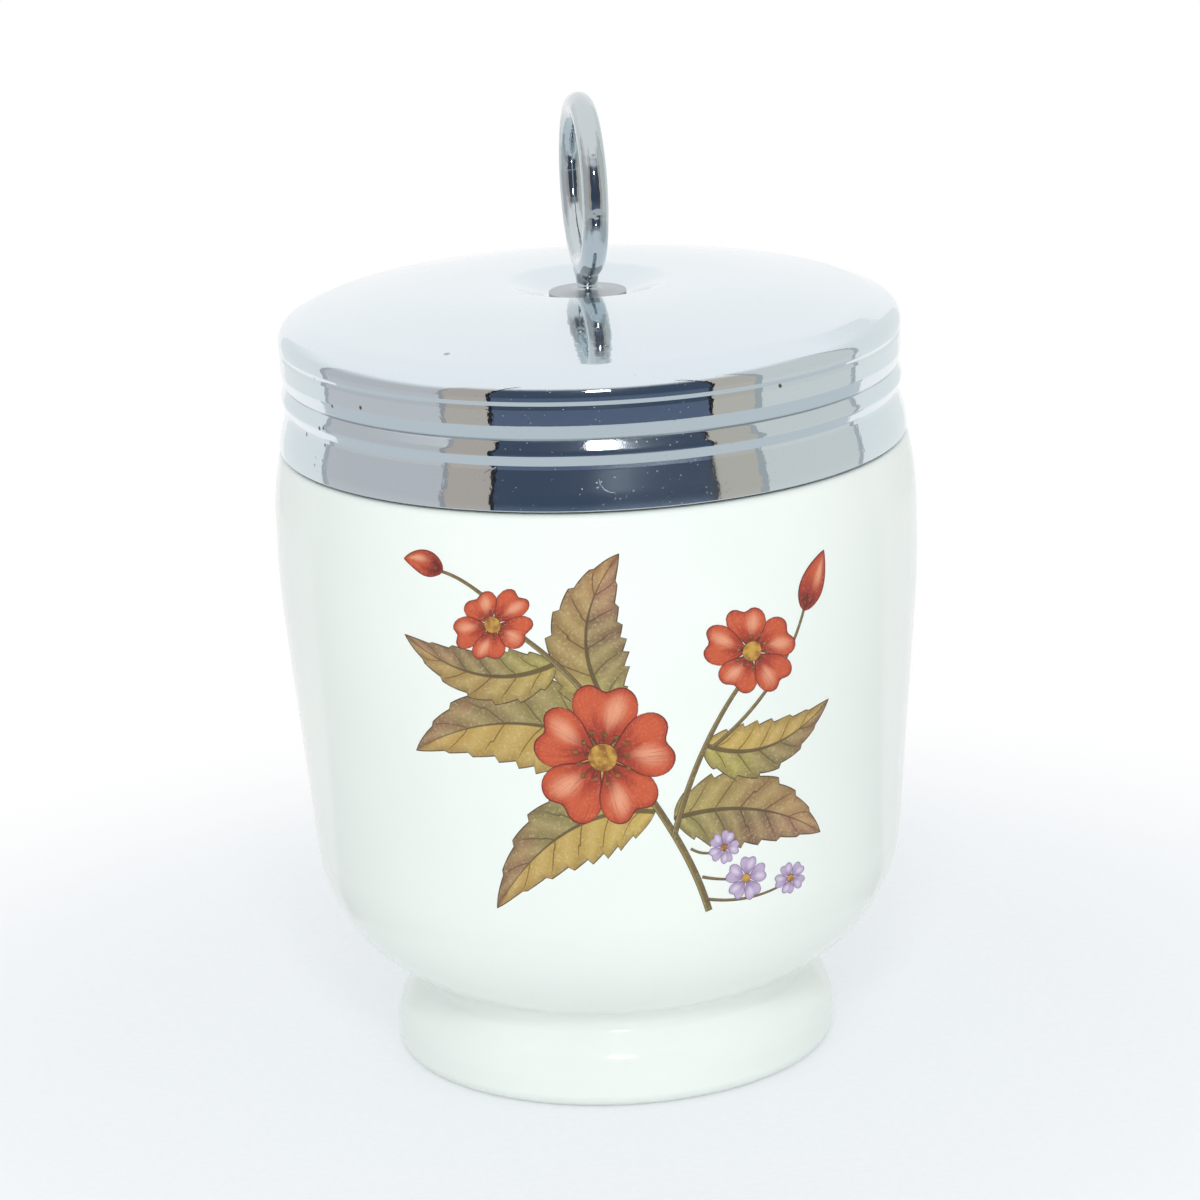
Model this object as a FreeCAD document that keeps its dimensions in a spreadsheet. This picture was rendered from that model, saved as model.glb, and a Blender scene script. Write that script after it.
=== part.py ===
"""Porcelain egg coddler with a screw-on metal lid.

The cup is one fired piece: foot ring, bowl, ledge, and a neck with a moulded
screw thread.  The lid is a pressed shell with two rolled grooves, a screw band
held inside it by those grooves, and a lifting ring whose stem goes down through
a dish in the crown and is peened over a backing washer.

Millimetres, +Z up.  The origin is the centre of the foot's base, and -Y is the
front.  The lifting ring stands in the YZ plane.
"""
import FreeCAD, Part
import math
import os
import re

import Sketcher

SIZES = [
    # the cup, from the foot up
    ("foot_radius", 24.4),
    ("foot_edge_round", 1.5),
    ("foot_wall", 4.6),
    ("foot_inner_round", 0.8),
    ("foot_recess", 2.8),
    ("recess_round", 1.2),
    ("foot_height", 4.8),
    ("foot_top_round", 5.0),
    ("waist_depth", 3.2),
    ("waist_rise", 4.6),
    ("waist_round", 1.6),
    ("underside_slope", 30.6),
    ("bowl_round", 17.0),
    ("body_taper", 3.3),
    ("body_swell", 0.95),
    ("swell_drop", 15.0),
    ("swell_round", 90.0),
    ("shoulder_drop", 4.5),
    ("shoulder_round", 28.0),
    ("body_height", 69.0),
    ("ledge_round", 1.0),
    ("wall", 3.1),
    ("inner_shoulder_round", 12.0),
    ("inner_neck_round", 8.0),
    ("floor_wall", 5.4),
    ("floor_round", 9.0),
    # the neck and its thread
    ("neck_radius", 30.7),
    ("neck_wall", 3.0),
    ("neck_root_round", 0.8),
    ("lip_round", 1.2),
    ("thread_lead", 5.0),
    ("thread_sink", 0.25),
    ("neck_ridge_depth", 1.05),
    ("neck_ridge_root", 2.4),
    ("neck_ridge_crest", 0.9),
    ("neck_ridge_turns", 1.25),
    ("neck_ridge_start", 3.9),
    # the gaps between the cup and the lid
    ("edge_gap", 0.3),
    ("rim_gap", 0.4),
    ("thread_gap", 0.35),
    # the screw band inside the lid
    ("band_sheet", 0.5),
    ("band_lift", 1.1),
    ("band_headroom", 0.2),
    ("band_grip", 0.1),
    ("band_ridge_depth", 1.1),
    ("band_ridge_root", 1.8),
    ("band_ridge_crest", 0.7),
    ("band_ridge_turns", 1.0),
    # the pressed lid: heights are above its lower edge
    ("lid_sheet", 0.6),
    ("groove_depth", 0.45),
    ("edge_flare", 0.95),
    ("edge_band", 1.2),
    ("edge_taper", 0.05),
    ("edge_round", 8.0),
    ("lower_groove", 4.45),
    ("lower_groove_width", 0.5),
    ("lower_groove_step", 0.1),
    ("lower_groove_round", 0.3),
    ("bead_bottom", 5.6),
    ("bead_depth", 0.5),
    ("bead_top_round", 0.3),
    ("bead_bottom_round", 1.2),
    ("upper_groove", 7.3),
    ("upper_groove_width", 0.6),
    ("upper_groove_lip", 0.22),
    ("upper_groove_round", 0.12),
    ("side_bottom", 9.1),
    ("side_round", 2.0),
    ("crease", 11.0),
    ("crease_width", 0.8),
    ("crease_depth", 0.14),
    ("crease_round", 0.3),
    ("skirt_height", 13.05),
    ("shoulder_bulge", 0.08),
    ("crown_edge_round", 1.5),
    ("crown_rise", 3.75),
    ("crown_radius", 18.0),
    ("crown_round", 80.0),
    ("crown_drop", 2.4),
    ("crown_shoulder_width", 3.05),
    ("crown_shoulder_round", 6.0),
    ("dish_radius", 8.6),
    ("dish_round", 3.0),
    ("dish_depth", 1.4),
    ("dish_floor_radius", 4.7),
    ("dish_floor_round", 0.8),
    # the lifting ring and what holds it
    ("ring_radius", 10.0),
    ("wire_radius", 1.375),
    ("ring_neck_height", 1.8),
    ("ring_neck_radius", 1.2),
    ("ring_neck_round", 0.5),
    ("ring_foot_radius", 4.2),
    ("ring_foot_edge", 0.25),
    ("ring_foot_height", 0.5),
    ("stem_radius", 1.1),
    ("stem_gap", 0.05),
    ("tail_radius", 2.2),
    ("tail_height", 0.8),
    ("tail_round", 0.55),
    ("washer_radius", 4.0),
    ("washer_thickness", 0.6),
    ("washer_gap", 0.05),
]

# The cup's heights and radii that other pieces line up with.
WAIST_RADIUS = "(foot_radius - waist_depth)"
WAIST_HEIGHT = "(foot_height + waist_rise)"
BAND_OUTER = "(neck_radius + neck_ridge_depth + thread_gap + band_sheet)"
GROOVE_RADIUS = f"({BAND_OUTER} - band_grip + lid_sheet)"
SKIRT_RADIUS = f"({GROOVE_RADIUS} + groove_depth)"
EDGE_RADIUS = f"({GROOVE_RADIUS} + edge_flare)"
BODY_RADIUS = f"({EDGE_RADIUS} + body_swell)"
BOWL_RADIUS = f"({BODY_RADIUS} - body_taper)"
BOWL_HEIGHT = f"({WAIST_HEIGHT} + ({BOWL_RADIUS} - {WAIST_RADIUS}) * tan(underside_slope))"
BOWL_ROUND = f"min(bowl_round; 1.7 * ({BOWL_RADIUS} - {WAIST_RADIUS}))"

# Heights in the lid, above its lower edge, and where the lid stands on the cup.
LID_BASE = "(body_height + edge_gap)"
CROWN_TOP = "(skirt_height + crown_rise)"
DISH_FLOOR = f"({CROWN_TOP} - dish_depth)"
CROWN_SHOULDER = f"({SKIRT_RADIUS} - crown_shoulder_width)"
CROWN_SLOPE = f"(crown_drop / ({CROWN_SHOULDER} - crown_radius))"
CROWN_RUN = f"min(crown_radius - dish_radius; {CROWN_SHOULDER} - crown_radius)"
CROWN_ROUND = f"min(crown_round; 0.84 * {CROWN_RUN} / tan(atan({CROWN_SLOPE}) / 2))"
SHOULDER_SLOPE = "((crown_rise - crown_drop) / crown_shoulder_width)"
SHEET_OVER_NECK = f"(skirt_height + ({SKIRT_RADIUS} - neck_radius) * {SHOULDER_SLOPE} - lid_sheet)"
RIM_HEIGHT = f"({LID_BASE} + {SHEET_OVER_NECK} - rim_gap)"
STEM_HOLE = "(stem_radius + stem_gap)"
WASHER_TOP = f"({DISH_FLOOR} - lid_sheet - washer_gap)"
TAIL_TOP = f"({WASHER_TOP} - washer_thickness - washer_gap)"

SAME_POINT = 1e-6

doc = FreeCAD.newDocument("egg_coddler")
sheet = doc.addObject("Spreadsheet::Sheet", "Sizes")
for row, (alias, size) in enumerate(SIZES, start=1):
    sheet.set(f"A{row}", alias)
    sheet.set(f"B{row}", str(size))
    sheet.setAlias(f"B{row}", alias)
doc.recompute()
ALIASES = {alias for alias, size in SIZES}


def cells(text):
    """The expression with each size's name pointed at its cell in the sheet."""
    return re.sub("[a-z_]+", lambda word: "Sizes." * (word.group() in ALIASES) + word.group(), text)


def value(text):
    """What the expression comes to with the sheet's present sizes."""
    return float(sheet.evalExpression(cells(text)))


def new_body(node, base="0"):
    """An empty body named after its node, standing at the height base."""
    body = doc.addObject("PartDesign::Body", node)
    body.Label = node
    body.setExpression("Placement.Base.z", cells(base))
    return body


def new_sketch(body, name, plane):
    """A sketch on one of the body's own origin planes."""
    sketch = body.newObject("Sketcher::SketchObject", name)
    origin_plane = next(part for part in body.Origin.OriginFeatures if part.Role == plane)
    sketch.AttachmentSupport = [(origin_plane, "")]
    sketch.MapMode = "FlatFace"
    return sketch


def pin_point(sketch, geometry, end, across, up):
    """Hold a point of the sketch at two expressions, measured from the origin."""
    for kind, text, axis in (("DistanceX", across, -2), ("DistanceY", up, -1)):
        if text == "0":
            sketch.addConstraint(Sketcher.Constraint("PointOnObject", geometry, end, axis))
            continue
        index = sketch.addConstraint(Sketcher.Constraint(kind, -1, 1, geometry, end, value(text)))
        sketch.setExpression(f"Constraints[{index}]", cells(text))


def round_over(before, corner, after, radius):
    """Entry, middle and exit points of the arc that rounds a corner."""
    inward = (before - corner).normalize()
    outward = (after - corner).normalize()
    half_angle = inward.getAngle(outward) / 2
    reach = radius / math.tan(half_angle)
    bisector = (inward + outward).normalize()
    middle = corner + bisector * (radius / math.sin(half_angle) - radius)
    return corner + inward * reach, middle, corner + outward * reach


def outline(sketch, corners):
    """A closed profile: each corner is (across, up, rounding), all expressions, rounding or None."""
    points = [FreeCAD.Vector(value(across), value(up), 0) for across, up, rounding in corners]
    count = len(corners)
    arcs = {}
    starts = {}
    ends = {}
    for index, (across, up, rounding) in enumerate(corners):
        corner = points[index]
        starts[index] = corner
        ends[index] = corner
        if rounding:
            before = points[index - 1]
            after = points[(index + 1) % count]
            entry, middle, leave = round_over(before, corner, after, value(rounding))
            arc = sketch.addGeometry(Part.Arc(entry, middle, leave))
            first_is_entry = sketch.getPoint(arc, 1).distanceToPoint(entry) < SAME_POINT
            arcs[index] = (arc, 1 if first_is_entry else 2, 2 if first_is_entry else 1)
            starts[index] = leave
            ends[index] = entry
    lines = []
    for index in range(count):
        run = Part.LineSegment(starts[index], ends[(index + 1) % count])
        lines.append(sketch.addGeometry(run))
    for index, (across, up, rounding) in enumerate(corners):
        line_in = lines[index - 1]
        line_out = lines[index]
        if not rounding:
            sketch.addConstraint(Sketcher.Constraint("Coincident", line_in, 2, line_out, 1))
            pin_point(sketch, line_out, 1, across, up)
            continue
        arc, entry_end, leave_end = arcs[index]
        sketch.addConstraint(Sketcher.Constraint("Tangent", line_in, 2, arc, entry_end))
        sketch.addConstraint(Sketcher.Constraint("Tangent", arc, leave_end, line_out, 1))
        size = sketch.addConstraint(Sketcher.Constraint("Radius", arc, value(rounding)))
        sketch.setExpression(f"Constraints[{size}]", cells(rounding))
        apex = sketch.addGeometry(Part.Point(points[index]), True)
        sketch.addConstraint(Sketcher.Constraint("PointOnObject", apex, 1, line_in))
        sketch.addConstraint(Sketcher.Constraint("PointOnObject", apex, 1, line_out))
        pin_point(sketch, apex, 1, across, up)


def turn(body, name, corners):
    """Revolve a profile of the XZ plane about the body's Z axis."""
    sketch = new_sketch(body, name + "_profile", "XZ_Plane")
    outline(sketch, corners)
    solid = body.newObject("PartDesign::Revolution", name)
    solid.Profile = sketch
    solid.ReferenceAxis = (sketch, ["V_Axis"])
    solid.Angle = 360


def thread_ridge(body, name, plane, wall_radius, side, height):
    """A helical ridge on the outer (+) or inner (-) side of a round wall, starting in the plane.

    Its depth, root, crest and turns are the sizes that begin with its name.
    """
    root_radius = f"{wall_radius} - ({side} thread_sink)"
    tip_radius = f"{wall_radius} {side} {name}_depth"
    sketch = new_sketch(body, name + "_profile", plane)
    outline(sketch, [
        (root_radius, f"{height} - {name}_root / 2", None),
        (tip_radius, f"{height} - {name}_crest / 2", None),
        (tip_radius, f"{height} + {name}_crest / 2", None),
        (root_radius, f"{height} + {name}_root / 2", None),
    ])
    ridge = body.newObject("PartDesign::AdditiveHelix", name)
    ridge.Profile = sketch
    ridge.ReferenceAxis = (sketch, ["V_Axis"])
    ridge.Mode = "pitch-turns-angle"
    ridge.HasBeenEdited = True
    ridge.LeftHanded = False
    ridge.setExpression("Pitch", cells("thread_lead"))
    ridge.setExpression("Turns", cells(f"{name}_turns"))


def make_cup():
    """Foot ring, bowl, shoulder and threaded neck, turned as one wall."""
    body = new_body("porcelain_cup")
    inner_bowl = f"({BOWL_RADIUS} - wall)"
    inner_bowl_height = f"({BOWL_HEIGHT} + wall * tan(underside_slope))"
    floor = "(foot_recess + floor_wall)"
    floor_radius = f"({inner_bowl} - ({inner_bowl_height} - {floor}) / tan(underside_slope))"
    bore = "(neck_radius - neck_wall)"
    swell_height = "(body_height - swell_drop)"
    shoulder_height = "(body_height - shoulder_drop)"
    turn(body, "cup_wall", [
        ("0", "foot_recess", None),
        ("foot_radius - foot_wall - recess_round", "foot_recess", "recess_round"),
        ("foot_radius - foot_wall", "0", "foot_inner_round"),
        ("foot_radius", "0", "foot_edge_round"),
        ("foot_radius", "foot_height", "foot_top_round"),
        (WAIST_RADIUS, WAIST_HEIGHT, "waist_round"),
        (BOWL_RADIUS, BOWL_HEIGHT, BOWL_ROUND),
        (BODY_RADIUS, swell_height, "swell_round"),
        (BODY_RADIUS, shoulder_height, "shoulder_round"),
        (EDGE_RADIUS, "body_height", "ledge_round"),
        ("neck_radius", "body_height", "neck_root_round"),
        ("neck_radius", RIM_HEIGHT, "lip_round"),
        (bore, RIM_HEIGHT, "lip_round"),
        (bore, "body_height", "inner_neck_round"),
        (f"{BODY_RADIUS} - wall", f"{shoulder_height} - 2 * wall", "inner_shoulder_round"),
        (inner_bowl, inner_bowl_height, f"{BOWL_ROUND} - wall"),
        (floor_radius, floor, "floor_round"),
        ("0", floor, None),
    ])
    thread_ridge(body, "neck_ridge", "XZ_Plane", "neck_radius", "+", "body_height + neck_ridge_start")
    return body


def make_lid_shell():
    """The pressed shell: flared edge, two grooves, bead, crown and central dish."""
    body = new_body("lid_shell", LID_BASE)
    bead_radius = f"{GROOVE_RADIUS} + bead_depth"
    lower_radius = f"{GROOVE_RADIUS} + lower_groove_step"
    bulge_radius = f"{SKIRT_RADIUS} + shoulder_bulge"
    half_groove = "upper_groove_width / 2"
    side = [
        (bulge_radius, "crease + crease_width / 2", "crease_round"),
        (f"{SKIRT_RADIUS} - crease_depth", "crease", "crease_round"),
        (SKIRT_RADIUS, "crease - crease_width / 2", "crease_round"),
        (SKIRT_RADIUS, "side_bottom", "side_round"),
        (f"{GROOVE_RADIUS} + upper_groove_lip", f"upper_groove + {half_groove}", "upper_groove_round"),
        (GROOVE_RADIUS, "upper_groove", "upper_groove_round"),
        (bead_radius, f"upper_groove - {half_groove}", "bead_top_round"),
        (bead_radius, "bead_bottom", "bead_bottom_round"),
        (lower_radius, "lower_groove + lower_groove_width / 2", "lower_groove_round"),
        (lower_radius, "lower_groove - lower_groove_width / 2", "lower_groove_round"),
        (f"{EDGE_RADIUS} - edge_taper", "edge_band", "edge_round"),
    ]
    outside = [
        (STEM_HOLE, DISH_FLOOR, None),
        ("dish_floor_radius", DISH_FLOOR, "dish_floor_round"),
        ("dish_radius", CROWN_TOP, "dish_round"),
        ("crown_radius", CROWN_TOP, CROWN_ROUND),
        (CROWN_SHOULDER, f"{CROWN_TOP} - crown_drop", "crown_shoulder_round"),
        (bulge_radius, "skirt_height", "crown_edge_round"),
        *side,
        (EDGE_RADIUS, "0", None),
    ]
    inside = [
        (f"{EDGE_RADIUS} - lid_sheet", "0", None),
        *((f"{across} - lid_sheet", up, rounding) for across, up, rounding in reversed(side)),
        (f"{bulge_radius} - lid_sheet", "skirt_height - lid_sheet", "crown_edge_round - lid_sheet"),
        (CROWN_SHOULDER, f"{CROWN_TOP} - crown_drop - lid_sheet", "crown_shoulder_round"),
        ("crown_radius", f"{CROWN_TOP} - lid_sheet", CROWN_ROUND),
        ("dish_radius", f"{CROWN_TOP} - lid_sheet", "dish_round"),
        ("dish_floor_radius", f"{DISH_FLOOR} - lid_sheet", "dish_floor_round"),
        (STEM_HOLE, f"{DISH_FLOOR} - lid_sheet", None),
    ]
    turn(body, "shell", outside + inside)
    return body


def make_screw_band():
    """The threaded band that the shell's grooves hold."""
    body = new_body("screw_band", LID_BASE)
    inner = f"({BAND_OUTER} - band_sheet)"
    top = "skirt_height - lid_sheet - band_headroom"
    turn(body, "band", [
        (inner, "band_lift", None),
        (BAND_OUTER, "band_lift", None),
        (BAND_OUTER, top, None),
        (inner, top, None),
    ])
    start = f"body_height + neck_ridge_start - thread_lead / 4 - {LID_BASE}"
    thread_ridge(body, "band_ridge", "YZ_Plane", inner, "-", start)
    return body


def make_lift_ring():
    """The ring, its neck and foot, and the peened stem below the crown."""
    body = new_body("lift_ring", LID_BASE)
    ring_centre = f"({DISH_FLOOR} + ring_neck_height + ring_radius)"
    foot_top = f"({DISH_FLOOR} + ring_foot_height)"
    turn(body, "stem", [
        ("0", f"{TAIL_TOP} - tail_height", None),
        ("tail_radius", f"{TAIL_TOP} - tail_height", "tail_round"),
        ("tail_radius", TAIL_TOP, None),
        ("stem_radius", TAIL_TOP, None),
        ("stem_radius", DISH_FLOOR, None),
        ("ring_foot_radius", DISH_FLOOR, None),
        ("ring_foot_radius", f"{DISH_FLOOR} + ring_foot_edge", None),
        ("ring_neck_radius", foot_top, "ring_neck_round"),
        ("ring_neck_radius", f"{ring_centre} - ring_radius + wire_radius", None),
        ("0", f"{ring_centre} - ring_radius + wire_radius", None),
    ])
    revolve_ring(body, ring_centre)
    return body


def revolve_ring(body, centre):
    """Revolve the wire's round section about an axle along X at the ring's centre."""
    sketch = new_sketch(body, "ring_profile", "XZ_Plane")
    wire_height = f"{centre} + ring_radius - wire_radius"
    wire_centre = FreeCAD.Vector(0, value(wire_height), 0)
    section = Part.Circle(wire_centre, FreeCAD.Vector(0, 0, 1), value("wire_radius"))
    wire = sketch.addGeometry(section)
    size = sketch.addConstraint(Sketcher.Constraint("Radius", wire, value("wire_radius")))
    sketch.setExpression(f"Constraints[{size}]", cells("wire_radius"))
    pin_point(sketch, wire, 3, "0", wire_height)
    near_end = FreeCAD.Vector(0, value(centre), 0)
    far_end = FreeCAD.Vector(value("ring_radius"), value(centre), 0)
    axle = sketch.addGeometry(Part.LineSegment(near_end, far_end), True)
    pin_point(sketch, axle, 1, "0", centre)
    pin_point(sketch, axle, 2, "ring_radius", centre)
    ring = body.newObject("PartDesign::Revolution", "ring")
    ring.Profile = sketch
    ring.ReferenceAxis = (sketch, ["Axis0"])
    ring.Angle = 360


def make_backing_washer():
    """The washer between the crown's underside and the peened end of the stem."""
    body = new_body("backing_washer", LID_BASE)
    turn(body, "washer", [
        (STEM_HOLE, f"{WASHER_TOP} - washer_thickness", None),
        ("washer_radius", f"{WASHER_TOP} - washer_thickness", None),
        ("washer_radius", WASHER_TOP, None),
        (STEM_HOLE, WASHER_TOP, None),
    ])
    return body


def check(bodies):
    """Stop if any feature failed or any piece isn't one sound solid."""
    for item in doc.Objects:
        if "Invalid" in item.State or "Error" in item.State:
            raise RuntimeError(f"{item.Name} is {item.State}")
    for body in bodies:
        shape = body.Shape
        if shape.isNull() or not shape.isValid() or len(shape.Solids) != 1:
            raise RuntimeError(f"{body.Label} isn't one valid solid")


pieces = [
    make_cup(),
    make_lid_shell(),
    make_screw_band(),
    make_lift_ring(),
    make_backing_washer(),
]
doc.recompute()
check(pieces)
os.makedirs("parts", exist_ok=True)
for piece in pieces:
    piece.Shape.exportStep(f"parts/{piece.Label}.step")
    box = piece.Shape.BoundBox
    print(f"{piece.Label}: {piece.Shape.Volume:.1f} mm3, {box.XLength:.2f} x {box.YLength:.2f} x "
          f"{box.ZLength:.2f}, z {box.ZMin:.2f} to {box.ZMax:.2f}")
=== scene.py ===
"""Looks of the porcelain egg coddler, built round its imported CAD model.

Sizes are in millimetres and are turned into metres when a mesh is made.  The front is -Y.
"""
import math

import bmesh
import bpy
import numpy as np
from mathutils import Matrix, Vector


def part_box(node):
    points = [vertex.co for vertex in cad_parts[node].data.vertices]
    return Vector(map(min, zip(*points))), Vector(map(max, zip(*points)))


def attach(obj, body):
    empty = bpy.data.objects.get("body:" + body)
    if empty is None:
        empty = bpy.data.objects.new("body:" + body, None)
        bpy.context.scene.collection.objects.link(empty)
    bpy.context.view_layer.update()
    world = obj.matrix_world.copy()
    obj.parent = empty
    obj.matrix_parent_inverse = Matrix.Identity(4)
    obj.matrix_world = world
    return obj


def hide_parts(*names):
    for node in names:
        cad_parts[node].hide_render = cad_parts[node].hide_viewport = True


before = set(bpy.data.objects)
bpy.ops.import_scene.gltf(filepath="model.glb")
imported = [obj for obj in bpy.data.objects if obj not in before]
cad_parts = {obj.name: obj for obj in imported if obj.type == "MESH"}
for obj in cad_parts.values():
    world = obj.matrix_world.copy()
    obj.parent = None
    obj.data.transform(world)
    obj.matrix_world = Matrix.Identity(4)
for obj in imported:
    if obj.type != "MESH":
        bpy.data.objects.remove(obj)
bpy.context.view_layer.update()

MM = 0.001


def box_mm(node):
    """Lowest and highest corner of a CAD node, in millimetres."""
    low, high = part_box(node)
    return [value / MM for value in low], [value / MM for value in high]


# ---------------------- sizes
# Places read from the frame.
cup_high = box_mm("porcelain_cup")[1]
shell_low, shell_high = box_mm("lid_shell")
band_low, band_high = box_mm("screw_band")
ring_low, ring_high = box_mm("lift_ring")
washer_low, washer_high = box_mm("backing_washer")
BODY_RADIUS = cup_high[0]
RIM_HEIGHT = cup_high[2]
LID_BASE = shell_low[2]
EDGE_RADIUS = shell_high[0]
CROWN_TOP = shell_high[2]
BAND_RADIUS = band_high[0]

# Meshes: the rounding of a plain corner, how far a chord may lie off its arc, an arc's longest
# step in degrees, and how far outward a normal points where a wall counts as upright.
FINE_EDGE = 0.05
SAGITTA = 0.003
ARC_STEP = 6.0
UPRIGHT = 0.99

# The cup: its painted wall lies this far inside the CAD wall, which leaves room for the print.
PRINT = 0.06
WALL = 3.1
FOOT_RADIUS = 24.4
FOOT_HEIGHT = 4.8
FOOT_WALL = 4.6
FOOT_RECESS = 2.8
WAIST_RADIUS = 21.2
WAIST_HEIGHT = 9.4
UNDERSIDE_SLOPE = math.tan(math.radians(30.6))
BODY_TAPER = 3.3
BOWL_ROUND = 17.0
SWELL_HEIGHT = 54.0
SHOULDER_HEIGHT = 64.5
LEDGE_HEIGHT = 69.0
FLOOR_HEIGHT = 8.2
NECK_RADIUS = 30.7
NECK_WALL = 3.0
THREAD_LEAD = 5.0
THREAD_START = LEDGE_HEIGHT + 3.9
RIDGE_FILLET = 0.25
RIDGE_ROUND = 0.15

# The lid: heights above its lower edge, but for DISH_HEIGHT, which is above the table.
SHEET = 0.6
GROOVE_RADIUS = EDGE_RADIUS - 0.95
SKIRT_RADIUS = GROOVE_RADIUS + 0.45
BULGE_RADIUS = SKIRT_RADIUS + 0.08
SKIRT_HEIGHT = 13.05
CROWN_HEIGHT = CROWN_TOP - LID_BASE
CROWN_SHOULDER = SKIRT_RADIUS - 3.05
CROWN_DROP = 2.4
CROWN_MIDDLE = 18.0
DISH_RIM = 8.6
DISH_RADIUS = 4.7
DISH_FLOOR = CROWN_HEIGHT - 1.4
DISH_HEIGHT = LID_BASE + DISH_FLOOR
STEM_HOLE = 1.15
BAND_SHEET = 0.5

# The lifting ring, which stands in the YZ plane.
WIRE_RADIUS = 1.375
RING_RADIUS = 10.0
RING_TOP = ring_high[2]
RING_CENTRE = RING_TOP - RING_RADIUS
RING_NECK_RADIUS = 1.2
RING_FOOT_RADIUS = 4.2
STEM_RADIUS = 1.1
STEM_BASE = ring_low[2]
TAIL_RADIUS = 2.2
TAIL_HEIGHT = 0.8

# The printed spray: where its middle lies on the cup, and how its motifs stack on the wall.
SPRAY_AZIMUTH = -4.5
SPRAY_HEIGHT = 44.5
PRINT_BASE = 0.008
PRINT_LEVEL = 0.0015
PRINT_SINK = 0.03
STEM_LEVEL = 7
FLOWER_LEVEL = 10
CENTRE_LEVEL = 16
PETALS = 5

# Marks of wear on the lid: the curved scratch is part of a circle, seen near its middle.
SCRATCH_CENTRE = (-2.72, -33.79, 72.85)
SCRATCH_RADIUS = 1.7
SCRATCH_MIDDLE = (-3.89, -33.68, 71.6)
PITTED_PLACE = (-31.0, -13.8, 72.0)
WORN_PLACE = (1.2, -34.8, 71.0)
SPECK_PLACE = (-17.96, -21.9, 84.0)
# The height of the fine groove that is drawn as a darker line.
DARKENED_GROOVE = LID_BASE + 7.36

# The cards and the apron round the object, which only reflections see.
CARD_RADIUS = 285.0
CARD_MIDDLE = 60.0
CARD_PALING = 150.0
CARD_TOP = 500.0
APRON_START = 46.0
APRON_HEIGHT = 0.3

# Light and floor: the world's plain level, and the share of the near floor that no shadow reaches.
WHITE = (1.0, 1.0, 1.0, 1.0)
AMBIENT_COLOUR = (0.985, 0.99, 0.99, 1.0)
AMBIENT = 0.755
FLOOR_REACH = 6000.0
FLOOR_LEVEL = -0.01
FLOOR_SHARE = 0.5
FLOOR_NEAR = 50.0
FLOOR_FAR = 125.0

# The camera, in metres and degrees: half a metre away and a little above the lid.
CAMERA_AZIMUTH = -8.0
CAMERA_DISTANCE = 0.5
CAMERA_HEIGHT = 0.19346
CAMERA_PITCH = 15.99
CAMERA_ROLL = 2.3
CAMERA_LENS = 142.0


# ---------------------- profiles and meshes
def unit(vectors):
    """Each vector at length one."""
    return vectors / np.maximum(np.linalg.norm(vectors, axis=-1, keepdims=True), 1e-12)


def rounded(corners, closed=True, run_step=1.0):
    """Points and outward normals along a profile of (radius, height, rounding) corners.

    An open profile starts and ends on the axis.  Every corner is rounded, so that the
    normals change smoothly; a corner with no rounding gets a fine edge.  The steps along
    an arc keep its chords within a small distance of it.
    """
    corner = np.array([c[:2] for c in corners], float)
    rounding = [c[2] or FINE_EDGE for c in corners]
    after = np.roll(corner, -1, axis=0)
    area = np.sum(corner[:, 0] * after[:, 1] - after[:, 0] * corner[:, 1])
    if area < 0:
        corner = corner[::-1]
        rounding = rounding[::-1]
    count = len(corner)
    points = []
    normals = []
    for index in range(count):
        here = corner[index]
        inward = unit(here - corner[index - 1])
        outward = unit(corner[(index + 1) % count] - here)
        if not closed and index in (0, count - 1):
            points.append(here)
            along = outward if index == 0 else inward
            normals.append((along[1], -along[0]))
            continue
        turn = math.atan2(inward[0] * outward[1] - inward[1] * outward[0], inward @ outward)
        radius = rounding[index]
        reach = radius * math.tan(abs(turn) / 2)
        side = math.copysign(1.0, turn)
        first_normal = np.array([inward[1], -inward[0]])
        centre = here - inward * reach - side * radius * first_normal
        bend = min(math.radians(ARC_STEP), 2 * math.acos(1 - SAGITTA / radius))
        steps = max(2, math.ceil(abs(turn) / bend))
        for step in range(steps + 1):
            angle = turn * step / steps
            normal = first_normal * math.cos(angle) + inward * math.sin(angle)
            points.append(centre + side * radius * normal)
            normals.append(normal)
    return fill_runs(np.hstack([points, normals]), closed, run_step)


def fill_runs(rows, closed, run_step):
    """Add rows, each a point and its normal, on the runs that are longer than a step."""
    following = np.roll(rows, -1, axis=0)
    filled = []
    for index in range(len(rows) if closed else len(rows) - 1):
        length = np.linalg.norm(following[index, :2] - rows[index, :2])
        steps = max(1, math.ceil(length / run_step))
        share = np.arange(steps)[:, None] / steps
        filled.append(rows[index] * (1 - share) + following[index] * share)
    if not closed:
        filled.append(rows[-1:])
    rows = np.concatenate(filled)
    return rows[:, :2], unit(rows[:, 2:])


def add_object(name, data):
    """An object of this data, in the scene."""
    made = bpy.data.objects.new(name, data)
    bpy.context.scene.collection.objects.link(made)
    return made


def new_object(name, vertices, faces, normals=None):
    """A smooth mesh object from millimetres, with its exact normals where they are known."""
    mesh = bpy.data.meshes.new(name)
    mesh.from_pydata((np.asarray(vertices) * MM).tolist(), [], faces)
    mesh.update()
    mesh.shade_smooth()
    if normals is not None:
        mesh.normals_split_custom_set_from_vertices(np.asarray(normals).tolist())
    return add_object(name, mesh)


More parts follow.
